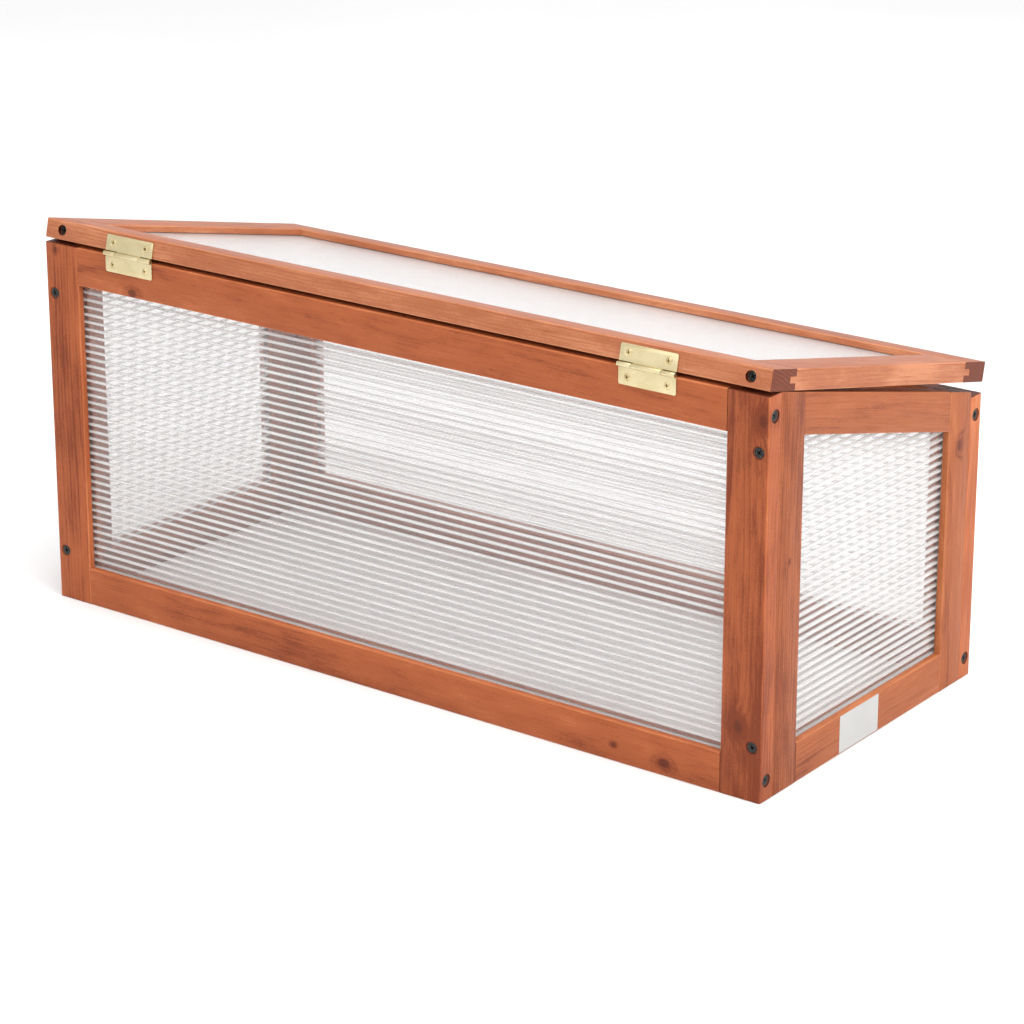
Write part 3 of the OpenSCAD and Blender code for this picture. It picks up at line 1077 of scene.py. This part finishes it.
@dataclass
class Panel:
    """A grooved frame of two stiles and two rails round a sheet."""

    side: str
    names: tuple[str, str, str, str]
    place: Matrix
    width: float
    near_height: float
    far_height: float
    stile_w: float
    rail_w: float
    thickness: float
    finish: Material
    glazing: TwinWall
    flutes: Grain
    seed: int
    tints: tuple[float, float, float, float] = (0.5, 0.5, 0.5, 0.5)
    knots: dict[str, tuple[Knot, ...]] = field(default_factory=dict)
    groove_d: float = 0.008
    tongue_gap: float = 0.0005
    sheet_gap: float = 0.001
    sheet_t: float = 0.004
    skin_t: float = 0.0005
    rib_pitch: float = 0.0063

    def top_at(self, u: float) -> float:
        """Returns the top edge's height at a distance from the near side."""
        return self.near_height + (self.far_height - self.near_height) * u / self.width

    def strip(self, u0: float, u1: float, low: float, drop: float) -> Outline:
        """Returns the outline between two distances, from a height to a drop below the top edge."""
        return [(u0, low), (u1, low), (u1, self.top_at(u1) - drop), (u0, self.top_at(u0) - drop)]

    def hanging(self, u0: float, u1: float, deep: float, drop: float) -> Outline:
        """Returns the outline between two distances and two depths below the top edge."""
        a, b = self.top_at(u0), self.top_at(u1)
        return [(u0, a - deep), (u1, b - deep), (u1, b - drop), (u0, a - drop)]

    def rail_screw_places(self) -> list[Matrix]:
        """Returns the places of the screws through the stiles' outer edges, heads outward."""
        made = []
        for far in (False, True):
            u = self.width if far else 0.0
            joint = self.width - self.stile_w if far else self.stile_w
            turn = Matrix.Rotation(math.radians(90 if far else -90), 4, "Y")
            for v in (self.rail_w / 2, self.top_at(joint) - self.rail_w / 2):
                made.append(self.place @ Matrix.Translation((u, v, self.thickness / 2)) @ turn)
        return made

    def board(self, index: int, outline: Outline, grain: Grain, **cuts: object) -> Board:
        """Describes one of the panel's boards.

        Args:
            index: which of the panel's names it has.
            outline: its outline.
            grain: the way its grain runs.
            cuts: its tongues and groove.

        Returns:
            The board.
        """
        node = self.names[index]
        return Board(
            node,
            outline,
            grain,
            self.thickness,
            self.finish,
            self.seed * 10 + index,
            self.tints[index],
            self.knots.get(node, ()),
            **cuts,
        )

    def boards(self) -> list[Board]:
        """Returns the near and far stiles and the bottom and top rails."""
        u0, u1 = self.stile_w, self.width - self.stile_w
        deep = self.groove_d
        over = 0.002
        tongue = deep - self.tongue_gap
        low = self.rail_w - deep
        joints = ((u0 - tongue, u0 + over), (u1 - over, u1 + tongue))
        near_groove = self.strip(u0 - deep, u0 + over, -over, -over)
        far_groove = self.strip(u1 - over, u1 + deep, -over, -over)
        return [
            self.board(0, self.strip(0, u0, 0, 0), Grain.ALONG, groove=near_groove),
            self.board(1, self.strip(u1, self.width, 0, 0), Grain.ALONG, groove=far_groove),
            self.board(
                2,
                rectangle(u0, 0, u1, self.rail_w),
                Grain.ACROSS,
                tongues=tuple(rectangle(a, 0, b, low) for a, b in joints),
                groove=rectangle(0, low, self.width, self.rail_w + over),
            ),
            self.board(
                3,
                self.hanging(u0, u1, self.rail_w, 0),
                Grain.ACROSS,
                tongues=tuple(self.hanging(a, b, low, 0) for a, b in joints),
                groove=self.hanging(0, self.width, self.rail_w + over, low),
            ),
        ]

    def sheet(self) -> Piece:
        """Makes the twin-wall sheet.

        Returns:
            The finished piece, with its skins, cell linings and ribs dressed apart.
        """
        node = self.side + "_sheet"
        edge_in = self.groove_d - self.sheet_gap
        u0 = self.stile_w - edge_in
        u1 = self.width - u0
        low = self.rail_w - edge_in
        middle = self.thickness / 2
        upright = self.flutes is Grain.ALONG
        start = u0 if upright else low
        span = (u1 - u0) if upright else max(self.near_height, self.far_height) - 2 * low
        piece = as_object(
            node + "_glazing",
            prism(self.strip(u0, u1, low, low), middle - self.sheet_t / 2, middle + self.sheet_t / 2),
        )
        cells = []
        half = self.sheet_t / 2 - self.skin_t
        over = 0.01
        for i in range(int((span - 2 * self.skin_t) / self.rib_pitch)):
            a = start + self.skin_t + i * self.rib_pitch
            b = a + self.rib_pitch - self.skin_t
            if upright:
                outline = rectangle(a, -over, b, self.far_height + over)
            else:
                outline = rectangle(-over, a, self.width + over, b)
            cells.append((prism(outline, middle - half, middle + half), HOME))
        carve(piece, join(cells), Cut.AWAY)
        smooth_by_angle(piece, 20)

        def in_cells(place: Vector) -> Vector:
            """Returns the place along the flutes in metres, and across them in pitches."""
            along, across = (place.y, place.x) if upright else (place.x, place.y)
            return Vector((along, (across - start - self.skin_t / 2) / self.rib_pitch, place.z))

        write_points(piece, "cell", in_cells)
        for face in piece.data.polygons:
            on_skin = abs(face.normal.z) > 0.9
            outside = abs(abs(face.center.z - middle) - self.sheet_t / 2) < self.skin_t / 4
            face.material_index = 0 if on_skin and outside else 1 if on_skin else 2
        finishes = [self.glazing.skin(), self.glazing.lining(), self.glazing.rib()]
        return hand_over(piece, node, finishes, self.place)

    def build(self, screw_sets: Sequence[ScrewSet]) -> None:
        """Makes the panel's boards and sheet.

        Args:
            screw_sets: the screws that may pass through its boards.
        """
        for board in self.boards():
            board.build(self.place, screw_sets)
        self.sheet()


# ---- Hinges ----


@dataclass
class ButtHinge:
    """A brass butt hinge: two rolled leaves on a pin along X, and four screws."""

    side: str
    slope: float
    brass: Material
    # The screws' brass: a darker copy of the plate brass, painted shade.
    shaded_screw_brass: Material
    seed: int
    leaf_t: float = 0.0011
    bore_r: float = 0.001
    pin_r: float = 0.00095
    middle_l: float = 0.026
    gap: float = 0.0003
    notch: float = 0.0004
    corner_r: float = 0.0016
    pin_head: float = 0.0012
    screw_sink: float = 0.00005
    screw: CountersunkScrew = CountersunkScrew(
        0.0029, 0.0056, 0.012, 0.0012, edge=0.0001, dome=0.00055, mouth=0.00025
    )

    def __post_init__(self) -> None:
        """Takes the hinge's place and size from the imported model."""
        low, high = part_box(self.side + "_hinge_frame_leaf")
        joint = frame["joints"][0]["pos_m"]
        self.length = high.x - low.x
        self.knuckle_r = high.y - joint[1]
        self.leaf_h = joint[2] - low.z
        self.place = Matrix.Translation(((low.x + high.x) / 2, joint[1], joint[2]))
        screws_low, screws_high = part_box(self.side + "_hinge_frame_screws")
        self.screw_x = (screws_high.x - screws_low.x - self.screw.head_d) / 2
        self.screw_z = joint[2] - (screws_high.z + screws_low.z) / 2

    def lid_side(self) -> Matrix:
        """Returns what turns the frame's leaf into the lid's."""
        return Matrix.Rotation(self.slope, 4, "X") @ Matrix.Diagonal((1, 1, -1, 1))

    def rolled_outline(self) -> Outline:
        """Returns a leaf's section (y, z), rolled round the pin and open at its seam."""
        outer, inner = self.knuckle_r, self.bore_r
        flat = self.leaf_t - outer
        seam = math.radians(-112)
        meet = math.pi + math.asin(math.sqrt(inner**2 - flat**2) / inner)
        steps = 22
        made = [(-outer, -self.leaf_h)]
        for i in range(steps + 1):
            angle = math.pi + (seam - math.pi) * i / steps
            made.append((outer * math.cos(angle), outer * math.sin(angle)))
        for i in range(steps + 1):
            angle = seam + (meet - seam) * i / steps
            made.append((inner * math.cos(angle), inner * math.sin(angle)))
        made.append((flat, -self.leaf_h))
        return made

    def screw_places(self) -> list[Matrix]:
        """Returns the frame leaf's screw places, heads outward."""
        turn = Matrix.Rotation(math.radians(-90), 4, "X")
        y = self.leaf_t - self.knuckle_r
        return [Matrix.Translation((x, y, -self.screw_z)) @ turn for x in (-self.screw_x, self.screw_x)]

    def leaf(self, node: str, middle: bool, turn: Matrix) -> Piece:
        """Makes a leaf.

        Args:
            node: the CAD node it stands for.
            middle: True for the leaf with the middle knuckle.
            turn: how it lies about the pin.

        Returns:
            The finished piece.
        """
        half = self.length / 2
        mesh = prism(self.rolled_outline(), -half, half)
        bmesh.ops.recalc_face_normals(mesh, faces=mesh.faces)
        corners = [
            e for e in mesh.edges
            if all(abs(v.co.y + self.leaf_h) < 1e-6 and abs(abs(v.co.z) - half) < 1e-6 for v in e.verts)
            and abs(e.verts[0].co.x - e.verts[1].co.x) > self.leaf_t / 2
        ]
        bmesh.ops.bevel(mesh, geom=corners, offset=self.corner_r, segments=6, profile=0.5, affect="EDGES")
        stand = Matrix(((0, 0, 1, 0), (1, 0, 0, 0), (0, 1, 0, 0), (0, 0, 0, 1)))
        bmesh.ops.transform(mesh, matrix=stand, verts=mesh.verts)
        piece = as_object(f"{node}_plate", mesh)
        split = self.middle_l / 2
        edge = self.gap / 2
        over = 0.002
        spans = [(-split - edge, split + edge)]
        if middle:
            spans = [(-half - over, -split + edge), (split - edge, half + over)]
        deep = -self.knuckle_r - self.notch
        tops = []
        for a, b in spans:
            outline = rectangle(a, -self.knuckle_r - over, b, over * 2)
            tops.append((prism(outline, deep, self.knuckle_r + over), HOME))
        carve(piece, join(tops), Cut.AWAY)
        holes = join((self.screw.hole(self.screw_sink), place) for place in self.screw_places())
        carve(piece, holes, Cut.AWAY)
        worn = piece.modifiers.new("worn", "BEVEL")
        worn.width = 0.00012
        worn.segments = 2
        worn.limit_method = "ANGLE"
        worn.angle_limit = math.radians(50)
        apply_modifiers(piece)
        smooth_by_angle(piece, 30)
        return hand_over(piece, node, [self.brass], self.place @ turn)

    def pin(self) -> Piece:
        """Returns the pin, with a domed head towards +X and a peened end."""
        node = self.side + "_hinge_pin"
        half = self.length / 2
        r = self.pin_r
        dome = ((0, 1), (0.9, 0.92), (1.45, 0.55), (1.7, 0.2), (1.65, 0))
        profile = [(r * wide, half + self.pin_head * up) for wide, up in dome]
        profile += [(r, half), (r, -half + 0.0001), (r * 0.8, -half), (0, -half)]
        piece = as_object(node + "_rod", lathe(profile, 28))
        smooth_by_angle(piece, 40)
        return hand_over(piece, node, [self.brass], self.place @ Matrix.Rotation(math.radians(90), 4, "Y"))

    def screw_sets(self) -> list[ScrewSet]:
        """Returns the frame leaf's screws and the lid leaf's, in the object's frame."""
        made = []
        for i, (leaf, turn) in enumerate((("frame", HOME), ("lid", self.lid_side()))):
            places = []
            for place in self.screw_places():
                spot = self.place @ turn @ place
                if turn.determinant() < 0:
                    spot = spot @ Matrix.Diagonal((1, -1, 1, 1))
                places.append(spot)
            node = f"{self.side}_hinge_{leaf}_screws"
            made.append(ScrewSet(node, self.screw, places, self.screw_sink, self.shaded_screw_brass, self.seed + i))
        return made

    def build(self) -> None:
        """Makes the leaves and the pin."""
        self.leaf(f"{self.side}_hinge_frame_leaf", False, HOME)
        self.leaf(f"{self.side}_hinge_lid_leaf", True, self.lid_side())
        self.pin()


# ---- Label ----


@dataclass
class BlankLabel:
    """The blank label, its edges lifting a hair from the wood."""

    material: Material
    corner_r: float = 0.0008
    cells: int = 12
    lift: float = 0.00006

    def build(self) -> Piece:
        """Returns the finished piece."""
        low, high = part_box("label")
        thick = high.x - low.x
        outline = rounded(rectangle(low.y, low.z, high.y, high.z), self.corner_r, 4)
        mesh = prism(outline, 0, thick)
        bmesh.ops.triangulate(mesh, faces=[f for f in mesh.faces if len(f.verts) > 4])
        for axis, size in ((0, high.y - low.y), (1, high.z - low.z)):
            for i in range(1, self.cells):
                start = Vector((low.y, low.z, 0))
                start[axis] += size * i / self.cells
                normal = Vector((0, 0, 0))
                normal[axis] = 1
                everything = [*mesh.verts, *mesh.edges, *mesh.faces]
                bmesh.ops.bisect_plane(mesh, geom=everything, plane_co=start, plane_no=normal)
        for vertex in mesh.verts:
            wave = math.sin(vertex.co.x * 190) * math.sin(vertex.co.y * 260 + 1)
            vertex.co.z += self.lift * (wave - 1) / 2
        turn = Matrix(((0, 0, -1, high.x), (1, 0, 0, 0), (0, 1, 0, 0), (0, 0, 0, 1)))
        bmesh.ops.transform(mesh, matrix=turn, verts=mesh.verts)
        bmesh.ops.recalc_face_normals(mesh, faces=mesh.faces)
        piece = as_object("label_paper", mesh)
        smooth_by_angle(piece, 40)
        return hand_over(piece, "label", [self.material])


# ---- The whole object ----


@dataclass
class ColdFrame:
    """Four walls, the lid, two hinges, the screws and the label.

    The front and right sheets are a copy of the clear sheet whose painted shade lines along the ribs are
    paler.
    """

    # All the wood has one stain; the side walls and the lid get copies of it tuned for how light falls on
    # them.
    long_wood: StainedWood = StainedWood(
        "stain_long_walls", (0.50, 0.160, 0.062), (0.335, 0.086, 0.029), (0.165, 0.033, 0.011)
    )
    # Side walls: a darker copy of the long walls' stain, painted shade.
    side_wood_painted_shade: StainedWood = StainedWood(
        "stain_side_walls_painted_shade", (0.44, 0.150, 0.060), (0.300, 0.084, 0.029), (0.155, 0.033, 0.011)
    )
    # Lid: a lighter, paler copy of the long walls' stain, painted light and sheen.
    lid_wood: StainedWood = StainedWood(
        "stain_lid_painted_light", (0.48, 0.195, 0.096), (0.330, 0.105, 0.046), (0.165, 0.038, 0.015)
    )
    clear: TwinWall = TwinWall("clear_twin_wall", Milk.CLEAR)
    # A copy of the clear sheet with paler painted shade lines, for the front and right sheets.
    far_sheets_paler_painted_lines: TwinWall = TwinWall("clear_twin_wall_paler_painted_lines", Milk.CLEAR, line=(0.72, 0.71, 0.71))
    opal: TwinWall = TwinWall("opal_twin_wall", Milk.OPAL, tint=(0.88, 0.885, 0.89))
    black_screw_long: CountersunkScrew = CountersunkScrew(0.0039, 0.0082, 0.050, 0.0018)
    black_screw_short: CountersunkScrew = CountersunkScrew(0.0039, 0.0082, 0.036, 0.0018)
    wall_rail_sink: float = 0.001
    lid_rail_sink: float = 0.003
    corner_sink: float = 0.0006

    def __post_init__(self) -> None:
        """Makes the materials that several sub-assemblies share."""
        self.brass = Brass().material()
        # A darker copy of the plate brass for the hinge screws: painted shade on their heads and recesses.
        self.shaded_screw_brass = Brass("brass_screw", (0.68, 0.56, 0.31), (0.48, 0.37, 0.18)).material()
        self.black = BlackSteel().material()

    def long_wall(self, side: str, seed: int, **looks: object) -> Panel:
        """Describes the rear or the front wall.

        Args:
            side: rear or front.
            seed: the seed of its grain.
            looks: its tints and knots.

        Returns:
            The panel.
        """
        low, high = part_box(f"{side}_left_stile")
        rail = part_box(f"{side}_bottom_rail")[1].z
        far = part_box(f"{side}_right_stile")[1].x
        place = Matrix(((1, 0, 0, low.x), (0, 0, -1, high.y), (0, 1, 0, low.z), (0, 0, 0, 1)))
        names = tuple(f"{side}_{part}" for part in ("left_stile", "right_stile", "bottom_rail", "top_rail"))
        height = high.z - low.z
        glazing = self.clear if side == "rear" else self.far_sheets_paler_painted_lines
        return Panel(
            side, names, place, far - low.x, height, height, high.x - low.x, rail, high.y - low.y,
            self.long_wood_material, glazing, Grain.ACROSS, seed, **looks,
        )

    def side_wall(self, side: str, seed: int, **looks: object) -> Panel:
        """Describes the left or the right wall.

        Args:
            side: left or right.
            seed: the seed of its grain.
            looks: its tints and knots.

        Returns:
            The panel.
        """
        low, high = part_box(f"{side}_front_stile")
        rear_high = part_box(f"{side}_rear_stile")[1]
        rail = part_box(f"{side}_bottom_rail")[1].z
        slope = (rear_high.z - high.z) / (rear_high.y - high.y)
        near_height = high.z - slope * (high.y - low.y)
        place = Matrix(((0, 0, 1, low.x), (1, 0, 0, low.y), (0, 1, 0, low.z), (0, 0, 0, 1)))
        names = tuple(f"{side}_{part}" for part in ("front_stile", "rear_stile", "bottom_rail", "top_rail"))
        glazing = self.clear if side == "left" else self.far_sheets_paler_painted_lines
        return Panel(
            side, names, place, rear_high.y - low.y, near_height, rear_high.z, high.y - low.y, rail,
            high.x - low.x, self.side_wood_painted_shade_material, glazing, Grain.ACROSS, seed, **looks,
        )

    def lid(self, seed: int, **looks: object) -> Panel:
        """Describes the lid, which slopes down from its rear rail.

        Args:
            seed: the seed of its grain.
            looks: its tints and knots.

        Returns:
            The panel.
        """
        low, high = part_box("lid_rear_rail")
        front_low, front_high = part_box("lid_front_rail")
        step = (low + high) / 2 - (front_low + front_high) / 2
        self.slope = math.atan2(step.z, step.y)
        c, s = math.cos(self.slope), math.sin(self.slope)
        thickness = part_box("left_bottom_rail")[1].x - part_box("left_bottom_rail")[0].x
        rail_w = (high.y - low.y - thickness * s) / c
        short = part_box("lid_left_rail")
        floor = high.z - thickness * c
        place = Matrix(((0, 1, 0, low.x), (-c, 0, -s, high.y), (-s, 0, c, floor), (0, 0, 0, 1)))
        return Panel(
            "lid", ("lid_rear_rail", "lid_front_rail", "lid_left_rail", "lid_right_rail"), place,
            math.hypot(step.y, step.z) + rail_w, high.x - low.x, high.x - low.x, rail_w,
            short[1].x - short[0].x, thickness, self.lid_wood_painted_light_material, self.opal, Grain.ALONG, seed, **looks,
        )

    def corner_places(self, side: str, outward: float) -> list[Matrix]:
        """Returns the places of a long wall's corner screws, heads outward.

        Args:
            side: rear or front.
            outward: 1 where the wall faces +Y, and -1 where it faces -Y.

        Returns:
            The places.
        """
        low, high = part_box(f"{side}_corner_screws")
        wall_low, wall_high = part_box(f"{side}_left_stile")
        head = self.black_screw_short.head_d / 2
        face = wall_high.y if outward > 0 else wall_low.y
        turn = Matrix.Rotation(math.radians(-90 * outward), 4, "X")
        return [
            Matrix.Translation((x, face, z)) @ turn
            for x in (low.x + head, high.x - head)
            for z in (low.z + head, high.z - head)
        ]

    def build(self) -> None:
        """Makes every piece of the object."""
        self.long_wood_material = self.long_wood.material()
        self.side_wood_painted_shade_material = self.side_wood_painted_shade.material()
        self.lid_wood_painted_light_material = self.lid_wood.material()
        panels = [
            self.long_wall("rear", 11, tints=(0.22, 0.42, 0.5, 0.52), knots={
                "rear_left_stile": (Knot(0.94, 0.86, 0.0036), Knot(0.18, 0.42, 0.0038)),
                "rear_right_stile": (Knot(0.982, 0.3, 0.0017),),
                "rear_top_rail": (Knot(0.905, 0.12, 0.0035),),
                "rear_bottom_rail": (Knot(0.078, 0.32, 0.0036), Knot(0.15, 0.4, 0.0014)),
            }),
            self.long_wall("front", 12),
            self.side_wall("left", 13, tints=(0.6, 0.3, 0.5, 0.5), knots={
                "left_front_stile": (Knot(0.81, 0.5, 0.0036),),
                "left_rear_stile": (Knot(0.575, 0.5, 0.0011),),
            }),
            self.side_wall("right", 14),
            self.lid(15),
        ]
        hinges = [
            ButtHinge(side, self.slope, self.brass, self.shaded_screw_brass, seed)
            for side, seed in (("left", 31), ("right", 41))
        ]
        screws = [
            ScrewSet(
                f"{panel.side}_rail_screws", self.black_screw_long, panel.rail_screw_places(),
                self.lid_rail_sink if panel.side == "lid" else self.wall_rail_sink,
                self.black, panel.seed + 50,
            )
            for panel in panels
        ]
        for side, outward in (("rear", 1), ("front", -1)):
            places = self.corner_places(side, outward)
            screws.append(
                ScrewSet(
                    f"{side}_corner_screws", self.black_screw_short, places, self.corner_sink, self.black, 71
                )
            )
        for hinge in hinges:
            screws += hinge.screw_sets()
        for panel in panels:
            panel.build(screws)
        for hinge in hinges:
            hinge.build()
        for group in screws:
            group.build()
        BlankLabel(BlankPaper().material()).build()


# ---- Studio ----


@dataclass
class Studio:
    """A pale floor, soft light and the camera."""

    azimuth: float = 216.74
    elevation: float = 17.99
    distance: float = 2.643
    aim: tuple[float, float, float] = (-0.0021, -0.0119, 0.1904)
    lens: float = 115.25
    raise_view: float = -0.1
    floor_r: float = 14.0

    def floor(self) -> None:
        """Adds the floor."""
        mesh = bmesh.new()
        bmesh.ops.create_circle(mesh, cap_ends=True, segments=96, radius=self.floor_r)
        floor = as_object("floor", mesh)
        floor.location.z = CAD_BOUNDS[0].z - 0.0002
        floor.data.materials.append(PaleFloor().material())

    def area_light(self, name: str, spot: Sequence[float], size: float, power: float) -> None:
        """Adds a square soft light that faces the object.

        Args:
            name: its name.
            spot: where it is.
            size: the length of its side.
            power: its power in watts.
        """
        data = bpy.data.lights.new(name, "AREA")
        data.size = size
        data.energy = power
        light = bpy.data.objects.new(name, data)
        bpy.context.scene.collection.objects.link(light)
        light.location = spot
        light.rotation_euler = (Vector(self.aim) - Vector(spot)).to_track_quat("-Z", "Y").to_euler()

    def sky(self) -> None:
        """Makes the surroundings plain and nearly white."""
        world = bpy.data.worlds.new("studio")
        world.use_nodes = True
        background = world.node_tree.nodes["Background"]
        background.inputs["Color"].default_value = (1, 1, 1, 1)
        background.inputs["Strength"].default_value = 1.0
        bpy.context.scene.world = world

    def camera(self) -> None:
        """Adds the camera."""
        data = bpy.data.cameras.new("camera")
        data.lens = self.lens
        data.shift_y = self.raise_view
        camera = bpy.data.objects.new("camera", data)
        bpy.context.scene.collection.objects.link(camera)
        a, e = math.radians(self.azimuth), math.radians(self.elevation)
        back = Vector((math.sin(a) * math.cos(e), -math.cos(a) * math.cos(e), math.sin(e)))
        camera.location = Vector(self.aim) + back * self.distance
        camera.rotation_euler = (-back).to_track_quat("-Z", "Y").to_euler()
        bpy.context.scene.camera = camera

    def build(self) -> None:
        """Sets up the studio."""
        self.floor()
        self.sky()
        self.area_light("overhead", (-0.6, 0.3, 2.6), 2.4, 64)
        self.area_light("side", (-3.0, 0.6, 1.5), 2.0, 52)
        self.area_light("rear", (0.8, 3.2, 1.6), 2.2, 12)
        self.camera()
        settings = bpy.context.scene.view_settings
        settings.view_transform = "Standard"
        cycles = bpy.context.scene.cycles
        cycles.transparent_max_bounces = 32
        cycles.max_bounces = 16
        cycles.diffuse_bounces = 6
        cycles.transmission_bounces = 14


def main() -> None:
    """Builds the studio and the cold frame."""
    logging.basicConfig(level=logging.INFO, format="%(message)s")
    Studio().build()
    ColdFrame().build()


if __name__ == "__main__":
    main()
